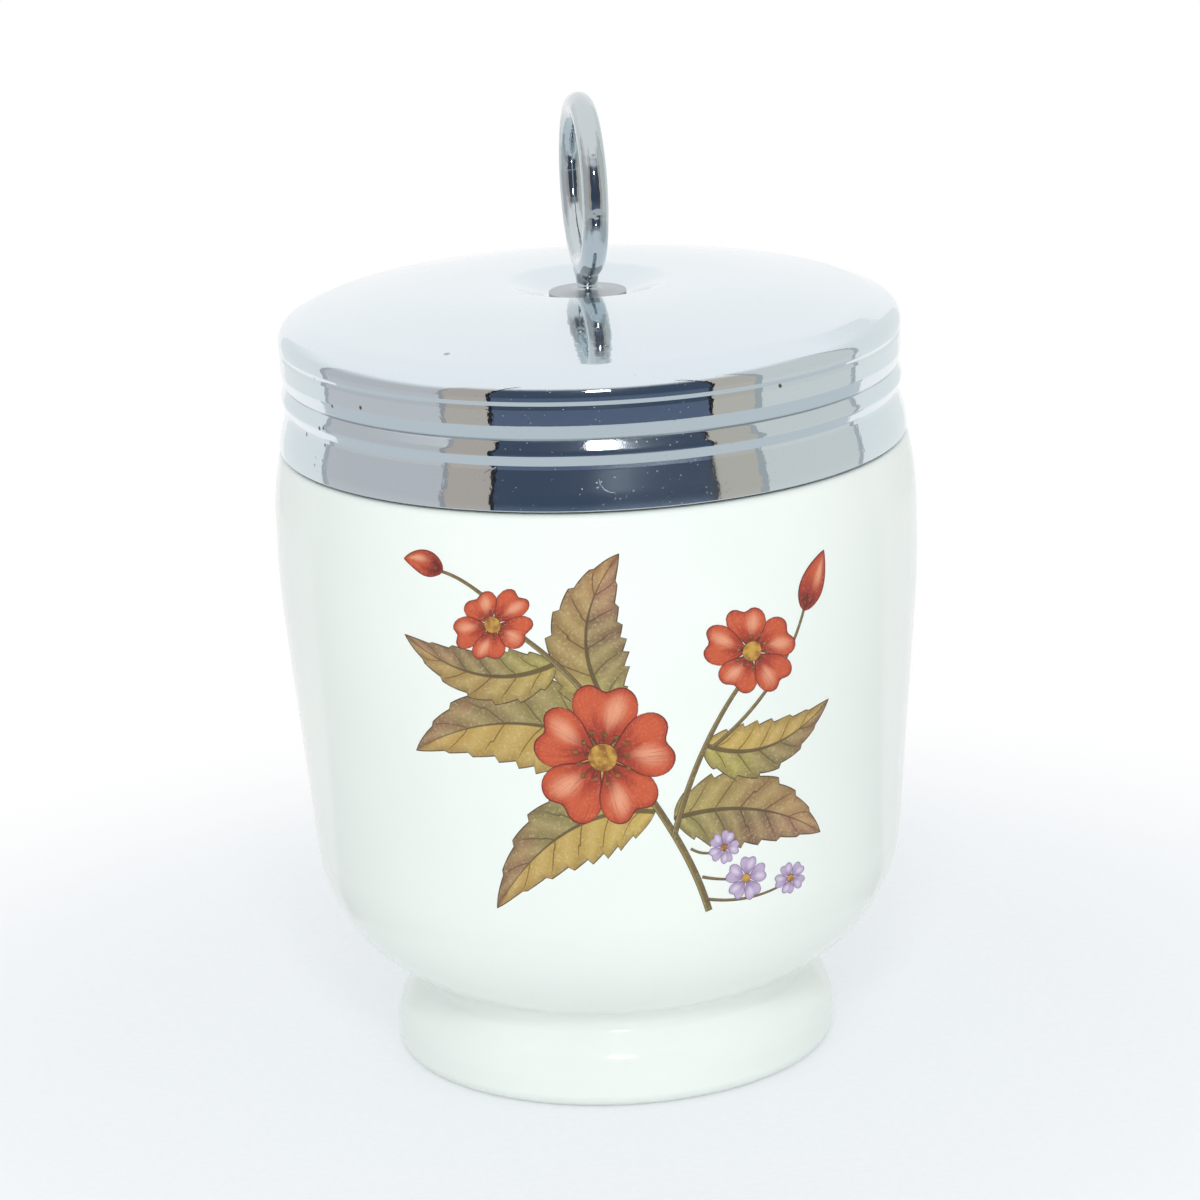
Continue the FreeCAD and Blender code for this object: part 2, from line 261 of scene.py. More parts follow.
def lathe(name, profile, segments, closed=True, relief=None):
    """Turn a profile about Z.

    relief(angle, height, facing) raises the wall away from the axis; facing is how far the
    wall's normal points outward, from -1 to 1.
    """
    columns = np.hstack(profile).T[..., None] + np.zeros(segments)
    radius, height, normal_radius, normal_height = columns
    normal_turn = np.zeros_like(radius)
    theta = np.zeros_like(radius) + np.arange(segments) * 2 * math.pi / segments
    if relief:
        step = 1e-3
        raised = relief(theta, height, normal_radius)
        per_angle = (relief(theta + step, height, normal_radius) - raised) / step
        per_height = (relief(theta, height + step, normal_radius) - raised) / step
        radius = radius + raised
        # Where it is raised, an upright wall's normal leans by the slopes round it and up it.
        facing = np.sign(normal_radius)
        upright = (np.abs(normal_radius) > UPRIGHT) & (np.abs(raised) + np.abs(per_height) > 0)
        normal_radius = np.where(upright, facing, normal_radius)
        normal_turn = np.where(upright, -facing * per_angle / np.maximum(radius, FINE_EDGE), 0)
        normal_height = np.where(upright, -facing * per_height, normal_height)
    cos, sin = np.cos(theta), np.sin(theta)
    vertices = layer(radius * cos, radius * sin, height)
    vertex_normals = unit(layer(
        normal_radius * cos - normal_turn * sin,
        normal_radius * sin + normal_turn * cos,
        normal_height,
    ))
    poles = [] if closed else [0, -1]
    kept = np.ones(radius.shape, bool)
    kept[poles, 1:] = False
    numbers = np.cumsum(kept).reshape(kept.shape) - 1
    wrapped = np.pad(numbers, ((0, int(closed)), (0, 1)), mode="wrap")
    # A face at a pole names it twice, and is a triangle.
    faces = [list(dict.fromkeys(face)) for face in quads(wrapped.T).tolist()]
    return new_object(name, vertices[kept], faces, vertex_normals[kept])


def quads(grid):
    """The faces of a grid of vertex numbers."""
    return np.stack([grid[:-1, :-1], grid[1:, :-1], grid[1:, 1:], grid[:-1, 1:]], axis=-1).reshape(-1, 4)


def layer(*values):
    """Values for every point of a grid, side by side in its last axis."""
    return np.stack(np.broadcast_arrays(*values), axis=-1)


def smooth_step(low, high, value):
    """0 below low, 1 above high, and a smooth rise between."""
    share = np.clip((value - low) / (high - low), 0, 1)
    return share * share * (3 - 2 * share)


def helical_ridge(theta, height, start_angle, start_height, turns, root, crest, depth, fade):
    """How far a screw ridge stands off its wall: root and crest are its widths there.

    Its ends fade into the wall over the share of a turn that fade gives.
    """
    raised = np.zeros_like(height)
    for winding in range(math.ceil(turns) + 1):
        turned = ((theta - start_angle) / (2 * math.pi)) % 1 + winding
        off_centre = np.abs(height - start_height - THREAD_LEAD * turned)
        flank = smooth_step(root / 2 + RIDGE_FILLET, crest / 2 - RIDGE_ROUND, off_centre)
        end = np.minimum(turned, turns - turned)
        ridge = depth * flank * np.sqrt(smooth_step(0, fade, end))
        raised = np.maximum(raised, np.where((end > 0) & (turned <= turns), ridge, 0))
    return raised


# ---------------------- pieces
def cup_profile():
    """The cup's wall from the axis under the foot to the axis on its floor, as rounded() takes it."""
    body = BODY_RADIUS - PRINT
    bowl = body - BODY_TAPER
    bowl_height = WAIST_HEIGHT + (bowl - WAIST_RADIUS) * UNDERSIDE_SLOPE
    inner_bowl = bowl - WALL
    inner_bowl_height = bowl_height + WALL * UNDERSIDE_SLOPE
    floor_radius = inner_bowl - (inner_bowl_height - FLOOR_HEIGHT) / UNDERSIDE_SLOPE
    bore = NECK_RADIUS - NECK_WALL
    foot_inner = FOOT_RADIUS - FOOT_WALL
    return [
        (0, FOOT_RECESS, None),
        (foot_inner - 1.2, FOOT_RECESS, 1.2),
        (foot_inner, 0, 0.8),
        (FOOT_RADIUS, 0, 1.5),
        (FOOT_RADIUS, FOOT_HEIGHT, 5.0),
        (WAIST_RADIUS, WAIST_HEIGHT, 1.6),
        (bowl, bowl_height, BOWL_ROUND),
        (body, SWELL_HEIGHT, 90.0),
        (body, SHOULDER_HEIGHT, 28.0),
        (EDGE_RADIUS, LEDGE_HEIGHT, 1.0),
        (NECK_RADIUS, LEDGE_HEIGHT, 0.8),
        (NECK_RADIUS, RIM_HEIGHT, 1.2),
        (bore, RIM_HEIGHT, 1.2),
        (bore, LEDGE_HEIGHT, 8.0),
        (body - WALL, SHOULDER_HEIGHT - 2 * WALL, 12.0),
        (inner_bowl, inner_bowl_height, BOWL_ROUND - WALL),
        (floor_radius, FLOOR_HEIGHT, 9.0),
        (0, FLOOR_HEIGHT, None),
    ]


def make_cup():
    """The cup as one turned wall, with the screw ridge raised out of its neck."""
    def thread(theta, height, facing):
        ridge = helical_ridge(theta, height, start_angle=0, start_height=THREAD_START, turns=1.25,
                              root=2.4, crest=0.9, depth=1.05, fade=0.06)
        on_neck = (height > LEDGE_HEIGHT + 0.9) & (height < RIM_HEIGHT - 1.3) & (facing > UPRIGHT)
        return np.where(on_neck, ridge, 0)

    wall = rounded(cup_profile(), closed=False)
    return lathe("glazed_cup", wall, segments=400, closed=False, relief=thread)


def make_lid_shell():
    """The pressed sheet: flared edge, grooves, bead, crease, crown and dish."""
    bead = GROOVE_RADIUS + 0.5
    lower = GROOVE_RADIUS + 0.1
    # Down the side: bulge and crease, plain upper band, fine groove, bead, soft groove, flare.
    side = [
        (BULGE_RADIUS, 11.4, 0.3),
        (SKIRT_RADIUS - 0.11, 11.0, 0.3),
        (SKIRT_RADIUS, 10.6, 0.3),
        (SKIRT_RADIUS, 8.8, 1.8),
        (GROOVE_RADIUS + 0.22, 7.6, 0.12),
        (GROOVE_RADIUS, 7.3, 0.12),
        (bead - 0.42, 7.12, 0.25),
        (bead, 6.1, 1.7),
        (bead, 5.6, 0.7),
        (lower, 4.7, 0.3),
        (lower, 4.2, 0.3),
        (EDGE_RADIUS - 0.05, 1.2, 8.0),
    ]
    outside = [
        (STEM_HOLE, DISH_FLOOR, None),
        (DISH_RADIUS, DISH_FLOOR, 0.8),
        (DISH_RIM, CROWN_HEIGHT, 3.0),
        (CROWN_MIDDLE, CROWN_HEIGHT, 80.0),
        (CROWN_SHOULDER, CROWN_HEIGHT - CROWN_DROP, 6.0),
        (BULGE_RADIUS, SKIRT_HEIGHT, 1.9),
        *side,
        (EDGE_RADIUS, 0, 0.12),
    ]
    inside = [
        (EDGE_RADIUS - SHEET, 0, 0.12),
        *((across - SHEET, up, rounding) for across, up, rounding in reversed(side)),
        (BULGE_RADIUS - SHEET, SKIRT_HEIGHT - SHEET, 0.9),
        (CROWN_SHOULDER, CROWN_HEIGHT - CROWN_DROP - SHEET, 6.0),
        (CROWN_MIDDLE, CROWN_HEIGHT - SHEET, 80.0),
        (DISH_RIM, CROWN_HEIGHT - SHEET, 3.0),
        (DISH_RADIUS, DISH_FLOOR - SHEET, 0.8),
        (STEM_HOLE, DISH_FLOOR - SHEET, None),
    ]
    raised = [(across, up + LID_BASE, rounding) for across, up, rounding in outside + inside]
    return lathe("chromed_lid", rounded(raised, run_step=1.5), segments=480)


def make_screw_band():
    """The band inside the lid, with rounded edges and its ridge pressed inward."""
    inner = BAND_RADIUS - BAND_SHEET
    low, high = band_low[2], band_high[2]
    edge = 0.2

    def thread(theta, height, facing):
        ridge = helical_ridge(theta, height, start_angle=math.pi / 2, turns=1.0, root=1.8, crest=0.7,
                              start_height=THREAD_START - THREAD_LEAD / 4, depth=1.1, fade=0.05)
        on_wall = (facing < -UPRIGHT) & (height > low + edge) & (height < high - edge)
        return np.where(on_wall, -ridge, 0)

    corners = [(inner, low, edge), (BAND_RADIUS, low, edge), (BAND_RADIUS, high, edge), (inner, high, edge)]
    return lathe("threaded_band", rounded(corners, run_step=0.15), segments=360, relief=thread)


def make_washer():
    """The backing washer."""
    radius, _, high = washer_high
    low = washer_low[2]
    corners = [(STEM_HOLE, low, 0.08), (radius, low, 0.12), (radius, high, 0.12), (STEM_HOLE, high, 0.08)]
    return lathe("stem_washer", rounded(corners, run_step=0.5), segments=96)


def blend_min(first, second, width):
    """The union of two fields, with a fillet of about that width where they meet."""
    overlap = np.maximum(width - np.abs(first - second), 0) / width
    return np.minimum(first, second) - overlap * overlap * width / 4


def post(across, height, radius, low, high, rounding):
    """Field of an upright round post with rounded ends."""
    past_end = np.abs(height - (low + high) / 2) - (high - low) / 2
    outside = layer(across - radius, past_end) + rounding
    beyond = np.linalg.norm(np.maximum(outside, 0), axis=-1)
    within = np.minimum(outside.max(axis=-1), 0)
    return beyond + within - rounding


def ring_field(points):
    """Signed distance to the lifting ring: below zero inside it."""
    across = np.hypot(points[:, 0], points[:, 1])
    height = points[:, 2]
    from_centre = np.hypot(points[:, 1], height - RING_CENTRE) - (RING_RADIUS - WIRE_RADIUS)
    wire = np.hypot(from_centre, points[:, 0]) - WIRE_RADIUS
    neck = post(across, height, RING_NECK_RADIUS, DISH_HEIGHT - 0.6, DISH_HEIGHT + 2.6, 0.1)
    foot_top = DISH_HEIGHT + 0.5 - 0.25 * smooth_step(RING_NECK_RADIUS, RING_FOOT_RADIUS, across)
    foot = np.maximum(post(across, height, RING_FOOT_RADIUS, DISH_HEIGHT, DISH_HEIGHT + 1.2, 0.1),
                      height - foot_top)
    shaft = post(across, height, STEM_RADIUS, STEM_BASE + 0.3, DISH_HEIGHT + 0.3, 0.05)
    tail = post(across, height, TAIL_RADIUS, STEM_BASE, STEM_BASE + TAIL_HEIGHT, 0.38)
    above = blend_min(blend_min(wire, neck, 0.9), foot, 0.5)
    return np.minimum(above, np.minimum(shaft, tail))


def make_ring():
    """The ring with its neck, foot and peened stem as one skin, drawn onto the ring's field."""
    around, section = 160, 24
    turn = np.arange(around)[:, None] * 2 * math.pi / around
    bend = np.arange(section) * 2 * math.pi / section
    reach = RING_RADIUS - WIRE_RADIUS + WIRE_RADIUS * np.cos(bend)
    wire = layer(WIRE_RADIUS * np.sin(bend), reach * np.cos(turn), RING_CENTRE + reach * np.sin(turn))
    numbers = np.pad(np.arange(around * section).reshape(around, section), (0, 1), mode="wrap")
    mesh = bpy.data.meshes.new("rough_ring")
    mesh.from_pydata(wire.reshape(-1, 3).tolist(), [], quads(numbers.T).tolist())
    rough = bmesh.new()
    rough.from_mesh(mesh)
    for radius, low, high in (
        (RING_NECK_RADIUS, DISH_HEIGHT - 0.3, DISH_HEIGHT + 2.4),
        (RING_FOOT_RADIUS, DISH_HEIGHT, DISH_HEIGHT + 0.35),
        (STEM_RADIUS, STEM_BASE + 0.3, DISH_HEIGHT + 0.2),
        (TAIL_RADIUS, STEM_BASE, STEM_BASE + TAIL_HEIGHT),
    ):
        place = Matrix.Translation((0, 0, (low + high) / 2))
        bmesh.ops.create_cone(rough, cap_ends=True, segments=48, radius1=radius, radius2=radius,
                              depth=high - low, matrix=place)
    bmesh.ops.recalc_face_normals(rough, faces=rough.faces)
    rough.to_mesh(mesh)
    rough.free()
    draft = add_object("rough_ring", mesh)
    remesh = draft.modifiers.new("skin", "REMESH")
    remesh.mode = "VOXEL"
    remesh.voxel_size = 0.1
    skin = bpy.data.meshes.new_from_object(draft.evaluated_get(bpy.context.evaluated_depsgraph_get()))
    bpy.data.objects.remove(draft)
    points = np.zeros(len(skin.vertices) * 3)
    skin.vertices.foreach_get("co", points)
    points = points.reshape(-1, 3)
    faces = [list(face.vertices) for face in skin.polygons]
    bpy.data.meshes.remove(skin)
    for _ in range(6):
        slope = field_slope(points)
        points = points - unit(slope) * ring_field(points)[:, None]
    return new_object("polished_ring", points, faces, unit(field_slope(points)))


def field_slope(points, step=0.01):
    """The ring field's gradient at each point."""
    slope = np.zeros_like(points)
    for axis in range(3):
        shift = np.zeros(3)
        shift[axis] = step
        slope[:, axis] = (ring_field(points + shift) - ring_field(points - shift)) / (2 * step)
    return slope


# ---------------------- the printed spray
# A place in the spray is (across, up): millimetres right of and above its middle, along the wall.
def outer_wall():
    """The cup's outer wall above the waist: its length from the spray's middle, and at each
    length its radius, its height and both parts of its normal.
    """
    points, normals = rounded(cup_profile(), closed=False)
    shown = (points[:, 1] > WAIST_HEIGHT) & (points[:, 1] < LEDGE_HEIGHT - 1)
    shown[np.argmax(points[:, 1]):] = False
    points, normals = points[shown], normals[shown]
    length = np.cumsum(np.linalg.norm(np.diff(points, axis=0, prepend=points[:1]), axis=1))
    return length - np.interp(SPRAY_HEIGHT, points[:, 1], length), np.hstack([points, normals]).T


WALL_LENGTH, WALL_COLUMNS = outer_wall()


def on_wall(places, lift):
    """Wrap places of the spray round the cup's wall and lift them off it: points and normals."""
    turn = math.radians(SPRAY_AZIMUTH - 90) + places[..., 0] / BODY_RADIUS
    columns = [np.interp(places[..., 1], WALL_LENGTH, column) for column in WALL_COLUMNS]
    radius, height, outward, upward = columns
    normals = unit(layer(outward * np.cos(turn), outward * np.sin(turn), upward))
    points = layer(radius * np.cos(turn), radius * np.sin(turn), height)
    return points + lift * normals, normals


class Print:
    """Flat motifs, laid on the wall as thin closed solids, that become one piece.

    At each point the mesh carries what its material reads: "blade" is the share along the
    motif, the share across it from -1 to 1, and the distance to its edge; "tint" is its
    tone, its length and the distance from its middle line.  Distances are in millimetres.
    """

    def __init__(self):
        self.rows = []
        self.faces = []
        self.count = 0

    def lay(self, motif, level):
        """Add one motif at its level in the stack."""
        places, blade, tint = motif
        size = places.shape[0] * places.shape[1]
        top, normals = on_wall(places, PRINT_BASE + level * PRINT_LEVEL)
        bottom = on_wall(places, -PRINT_SINK)[0]
        grid = self.count + np.arange(size).reshape(places.shape[:2])
        edge = np.concatenate([grid[:-1, 0], grid[-1, :-1], grid[:0:-1, -1], grid[0, :0:-1]])
        following = np.roll(edge, -1)
        rim = np.stack([edge + size, following + size, following, edge], axis=-1)
        self.faces += [quads(grid), quads(grid + size)[:, ::-1], rim]
        for points, facing in ((top, normals), (bottom, -normals)):
            row = np.concatenate([points, facing, blade, tint], axis=-1)
            self.rows.append(row.reshape(size, -1))
        self.count += 2 * size

    def piece(self, name):
        """One object of all the motifs."""
        points, normals, blade, tint = np.split(np.concatenate(self.rows), 4, axis=1)
        made = new_object(name, points, np.concatenate(self.faces).tolist(), normals)
        for key, values in (("blade", blade), ("tint", tint)):
            stored = made.data.attributes.new(key, "FLOAT_VECTOR", "POINT")
            stored.data.foreach_set("vector", values.astype(np.float32).ravel())
        return made


def curve(guides, share):
    """Places and headings along the Bezier curve of these guide points."""
    level = [np.ones((len(share), 1)) * np.array(guide, float) for guide in guides]
    while len(level) > 2:
        level = [first + (second - first) * share[:, None] for first, second in zip(level, level[1:])]
    return level[0] + (level[1] - level[0]) * share[:, None], unit(level[1] - level[0])


def strip(guides, half_width, tone, rows, columns=4):
    """A motif along a curve, as wide either side as half_width says at each share."""
    share = np.linspace(0, 1, rows + 1)
    middle, heading = curve(guides, share)
    beside = layer(-heading[:, 1], heading[:, 0])
    half = np.maximum(half_width(share), 0.02)[:, None]
    across = np.linspace(-1, 1, columns + 1)[None, :]
    offset = across * half
    length = np.linalg.norm(np.diff(middle, axis=0), axis=1).sum()
    blade = layer(share[:, None], across, (1 - np.abs(across)) * half)
    tint = layer(tone, length, offset)
    return middle[:, None] + beside[:, None] * offset[..., None], blade, tint


def leaf(guides, half, teeth, tone):
    """A pointed leaf with forward teeth, from its stalk to its tip."""
    def half_width(share):
        body = np.sin(math.pi * share ** 0.72) ** 0.85
        tooth = np.where(share > 0.12, 1 - share * teeth % 1, 0)
        return half * body * (1 - 0.17 * tooth)

    return strip(guides, half_width, tone, rows=8 * teeth, columns=14)


def twig(guides, start, end, tone=0.5):
    """A stem that thins from start to end, both half widths."""
    return strip(guides, lambda share: start + (end - start) * share, tone, rows=44)


def bud(guides, half, tone):
    """A pointed oval."""
    def half_width(share):
        return half * np.sin(math.pi * share ** 0.8) ** 0.8

    return strip(guides, half_width, tone, rows=20, columns=10)


def dot(centre, radius, tone):
    """A round spot."""
    def half_width(share):
        return radius * np.sqrt(np.maximum(1 - (2 * share - 1) ** 2, 0))

    across, up = centre
    rows = max(10, math.ceil(8 * radius))
    guides = [(across - radius, up), (across + radius, up)]
    return strip(guides, half_width, tone, rows, columns=rows // 2 * 2)


def petal(centre, heading, reach, spread, tone, squash):
    """A notched petal: heading is its direction in degrees, spread half its angle, in radians.

    squash is how far the flower is turned away and the direction in degrees that this shortens.
    """
    cells = max(10, math.ceil(reach / 0.42))
    along = np.linspace(0.08, 1, cells + 1)[:, None]
    across = np.linspace(-1, 1, cells + 1)[None, :]
    tip = reach * (1 - 0.12 * np.exp(-(across / 0.26) ** 2) - 0.22 * across ** 4)
    turn = math.radians(heading) + across * spread * (0.55 + 0.45 * np.sin(math.pi * 0.75 * along))
    out = layer(along * tip * np.cos(turn), along * tip * np.sin(turn))
    shortened, direction = squash
    axis = np.array([math.cos(math.radians(direction)), math.sin(math.radians(direction))])
    places = np.array(centre) + out + (out @ axis)[..., None] * axis * (shortened - 1)
    edge = np.minimum((1 - along) * tip, (1 - np.abs(across)) * along * tip * spread)
    return places, layer(along, across, edge), layer(tone, reach, across * along * tip * spread)


# Each flower: its middle, its petals' reach, the first petal's direction, and how it is turned away.
BLOSSOMS = [
    ((-2.5, -1.5), 8.4, 84, (0.94, 20)),
    ((14.0, 8.5), 6.0, 22, (0.80, 55)),
    ((-13.5, 13.0), 4.9, 50, (0.76, 125)),
]
SMALL_FLOWERS = [
    ((13.6, -17.0), 2.7, 10, (1.0, 0)),
    ((19.6, -18.2), 2.3, 40, (0.85, 80)),
    ((10.8, -13.0), 2.1, 66, (0.9, 30)),
]


def print_leaves():
    """The leaves, the lowest in the stack."""
    sheet = Print()
    leaves = [
        ([(1, -3), (-10, 7), (-24, -2)], 5.7, 9, 0.15),
        ([(3, -8), (-7, -6), (-15.5, -19)], 4.9, 8, 0.0),
        ([(5, -9), (14, -7), (24, -14)], 4.7, 8, 1.0),
        ([(-1, 3), (-7, 12), (0, 20.5)], 4.5, 8, 0.9),
        ([(8.4, -1), (16, -5), (24.5, 1)], 3.4, 7, 0.1),
        ([(-7, 9), (-15, 5), (-24, 11)], 3.3, 7, 0.6),
    ]
    for level, (guides, half, teeth, tone) in enumerate(leaves):
        sheet.lay(leaf(guides, half, teeth, tone), level)
    return sheet.piece("printed_leaves")


def print_stems():
    """The main stem and its branches."""
    sheet = Print()
    stems = [
        ([(9, -20), (6, -10), (0, -4), (-3, 4)], 0.42, 0.36),
        ([(-3, 4), (-6, 9), (-12, 13)], 0.36, 0.24),
        ([(-12, 14), (-16, 18), (-19.5, 18.4)], 0.24, 0.16),
        ([(5, -11), (8, 0), (13.5, 6)], 0.36, 0.24),
        ([(9.4, -1.5), (18, 4), (20.8, 12.4)], 0.24, 0.16),
        ([(8.2, -16), (10, -16.6), (13, -17)], 0.18, 0.12),
        ([(8.7, -18.6), (14, -20), (19, -18.6)], 0.18, 0.12),
        ([(6.9, -12.6), (8.5, -13.8), (10.6, -13.2)], 0.16, 0.12),
    ]
    for level, (guides, start, end) in enumerate(stems):
        sheet.lay(twig(guides, start, end), STEM_LEVEL + level % 3)
    return sheet.piece("printed_stems")


def print_flowers(flowers, spread):
    """Flowers of one kind, each a round of petals that overlap in turn."""
    sheet = Print()
    for centre, reach, first, squash in flowers:
        for number in range(PETALS):
            heading = first + 360 * number / PETALS
            length = reach * (1 - 0.05 * (number % 2))
            shape = petal(centre, heading, length, spread, number / PETALS, squash)
            sheet.lay(shape, FLOWER_LEVEL + number)
    return sheet


def print_blossoms():
    """The orange-red flowers and their buds."""
    sheet = print_flowers(BLOSSOMS, 0.68)
    sheet.lay(bud([(20.6, 11.6), (21.8, 14.5), (23.6, 17.6)], 1.7, 0.2), FLOWER_LEVEL)
    sheet.lay(bud([(-18.8, 18.3), (-21, 19.4), (-23.6, 19.2)], 1.4, 0.6), FLOWER_LEVEL)
    return sheet.piece("printed_blossoms")


def print_small_flowers():
    """The mauve flowers at the foot of the spray."""
    return print_flowers(SMALL_FLOWERS, 0.62).piece("printed_small_flowers")


def print_centres():
    """The flowers' golden middles, with a ring of stamens round each large one."""
    sheet = Print()
    for centre, reach, first, squash in BLOSSOMS:
        stamens = round(1.6 * reach)
        for number in range(stamens):
            turn = math.radians(first + 360 * number / stamens)
            out = squash[0] * reach * (0.33 + 0.05 * (number % 2))
            place = (centre[0] + out * math.cos(turn), centre[1] + out * math.sin(turn))
            sheet.lay(twig([centre, place], 0.07, 0.05, 0.9), CENTRE_LEVEL)
            sheet.lay(dot(place, 0.036 * reach, 0.7), CENTRE_LEVEL + 1)
        sheet.lay(dot(centre, 0.19 * reach, 0.2), CENTRE_LEVEL + 2)
    for centre, reach, _, _ in SMALL_FLOWERS:
        sheet.lay(dot(centre, 0.2 * reach, 0.1), CENTRE_LEVEL)
    return sheet.piece("printed_centres")


# ---------------------- materials
class Shader:
    """A material, or a world, made of nodes: node() adds one and joins or sets its inputs."""

    def __init__(self, name, owner=None, output="OutputMaterial"):
        self.owner = owner or bpy.data.materials.new(name)
        self.owner.use_nodes = True
        self.tree = self.owner.node_tree
        self.tree.nodes.clear()
        self.output = self.node(output)

    def node(self, kind, inputs=None, **settings):
        made = self.tree.nodes.new("ShaderNode" + kind)
        for name, value in settings.items():
            setattr(made, name, value)
        for name, value in (inputs or {}).items():
            socket = made.inputs[name]
            if isinstance(value, bpy.types.NodeSocket):
                self.tree.links.new(value, socket)
            else:
                socket.default_value = value
        return made

    def math(self, operation, first, second=0.0, clamp=False):
        return self.node("Math", {0: first, 1: second}, operation=operation, use_clamp=clamp).outputs[0]

    def plus(self, first, second):
        return self.math("ADD", first, second)

    def minus(self, first, second):
        return self.math("SUBTRACT", first, second)

    def times(self, first, second):
        return self.math("MULTIPLY", first, second)

    def place(self):
        return self.node("TexCoord").outputs["Object"]

    def height(self):
        return self.node("SeparateXYZ", {0: self.place()}).outputs["Z"]

    def noise(self, scale, detail=3.0, roughness=0.5, vector=None):
        made = self.node("TexNoise", {"Vector": vector or self.place(), "Scale": scale,
                                      "Detail": detail, "Roughness": roughness})
        return made.outputs["Fac"]

    def spread(self, value, low, high, to_low=0.0, to_high=1.0):
        """Map low..high smoothly onto to_low..to_high."""
        made = self.node("MapRange", {0: value, 1: low, 2: high, 3: to_low, 4: to_high},
                         interpolation_type="SMOOTHSTEP")
        return made.outputs[0]

    def fade(self, value, low, high, share=1.0):
        """Map low..high smoothly onto share..0."""
        return self.spread(value, low, high, share, 0.0)

    def mix(self, share, first, second):
        made = self.node("Mix", {0: share, 6: first, 7: second}, data_type="RGBA")
        return made.outputs[2]

    def marks(self, name):
        """The three numbers that a printed mesh carries at each point under this name."""
        read = self.node("Attribute", attribute_name=name)
        return self.node("SeparateXYZ", {0: read.outputs["Vector"]}).outputs

    def distance(self, point):
        """How far the surface is from this point, which is given in millimetres."""
        point = tuple(value * MM for value in point)
        return self.node("VectorMath", {0: self.place(), 1: point}, operation="DISTANCE").outputs["Value"]

    def near(self, point, inner, outer, share=1.0):
        """A share that fades to nothing from inner to outer millimetres from a point."""
        return self.fade(self.distance(point), inner * MM, outer * MM, share)

    def spots(self, scale, small, large, above, channel=0):
        """1 on round spots, in the cells whose own random share is above a limit, and 0 between."""
        cells = self.node("TexVoronoi", {"Vector": self.place(), "Scale": scale}).outputs
        share = self.node("SeparateColor", {0: cells["Color"]}).outputs[channel]
        spot = self.fade(cells["Distance"], small, large)
        return self.times(spot, self.math("GREATER_THAN", share, above))

    def in_view(self):
        """1 for what the camera sees, straight on or in a reflection, and 0 for light on the object."""
        path = self.node("LightPath").outputs
        seen = self.math("ADD", path["Is Camera Ray"], path["Is Glossy Ray"])
        return self.math("ADD", seen, path["Is Transmission Ray"], clamp=True)

    def glossy(self, colour, rough, bump, **more):
        """End the material with a glossy surface; bump is its height, strength and depth."""
        height, strength, depth = bump
        uneven = self.node("Bump", {"Height": height, "Strength": strength, "Distance": depth * MM})
        inputs = {"Base Color": colour, "Roughness": rough, "Normal": uneven.outputs[0]}
        inputs.update((name.replace("_", " "), value) for name, value in more.items())
        return self.finish(self.node("BsdfPrincipled", inputs).outputs[0])

    def finish(self, surface):
        self.tree.links.new(surface, self.output.inputs["Surface"])
        return self.owner


def rgb(red, green, blue):
    """A colour given as it looks, 0 to 255, for a socket."""
    def linear(value):
        share = value / 255
        return share / 12.92 if share <= 0.04045 else ((share + 0.055) / 1.055) ** 2.4
    return (linear(red), linear(green), linear(blue), 1.0)


def glaze(s, colour, bare_and_shaded_foot=0.0):
    """End a material with clear glaze over a colour, with a gentle ripple, and rough where bare."""
    grain = s.times(s.noise(4000.0, 2.0), s.times(bare_and_shaded_foot, 12.0))
    ripple = s.plus(s.noise(160.0, 2.0), grain)
    rough = s.plus(s.spread(s.noise(220.0), 0.3, 0.7, 0.11, 0.16), s.times(bare_and_shaded_foot, 0.6))
    return s.glossy(colour, rough, (ripple, 0.04, 0.4), IOR=1.5, Specular_IOR_Level=0.45)


def glazed_porcelain():
    """White body under clear glaze, bare and rough where the foot ring stands, with a grey there that is
    partly painted shade under the foot.
    """
    s = Shader("glazed_porcelain")
    ragged = s.times(s.noise(900.0, 2.0), 0.5 * MM)
    # The lowest edge of the foot ring is bare, rough and grey; the grey is partly the unglazed body and
    # partly painted shade for the dark line where the foot meets the table.
    bare_and_shaded_foot = s.fade(s.plus(s.height(), ragged), 0.2 * MM, 0.45 * MM)
    cloud = s.noise(35.0, 3.0)
    white = s.mix(s.spread(cloud, 0.3, 0.7), rgb(235, 242, 238), rgb(238, 244, 240))
    speck = s.times(s.spots(260.0, 0.02, 0.05, 0.965), 0.3)
    glazed = s.mix(speck, white, rgb(178, 172, 160))
    return glaze(s, s.mix(bare_and_shaded_foot, glazed, rgb(172, 168, 168)), bare_and_shaded_foot)


def stippled(s, colour, light, dark, strength=0.3):
    """The fine pale and dark dots that a printed transfer shows."""
    pale = s.times(s.spread(s.noise(3000.0, 2.0, 0.7), 0.5, 0.75), strength)
    deep = s.times(s.spread(s.noise(4200.0, 2.0, 0.7), 0.55, 0.8), strength)
    return s.mix(deep, s.mix(pale, colour, light), dark)


def drawn_edge(s, edge, colour, line, width):
    """A drawn outline that thins and breaks in places."""
    near = s.fade(edge, 0.5 * width, 1.4 * width)
    broken = s.spread(s.noise(600.0, 2.0), 0.3, 0.5, 0.45, 1.0)
    return s.mix(s.times(near, broken), colour, line)


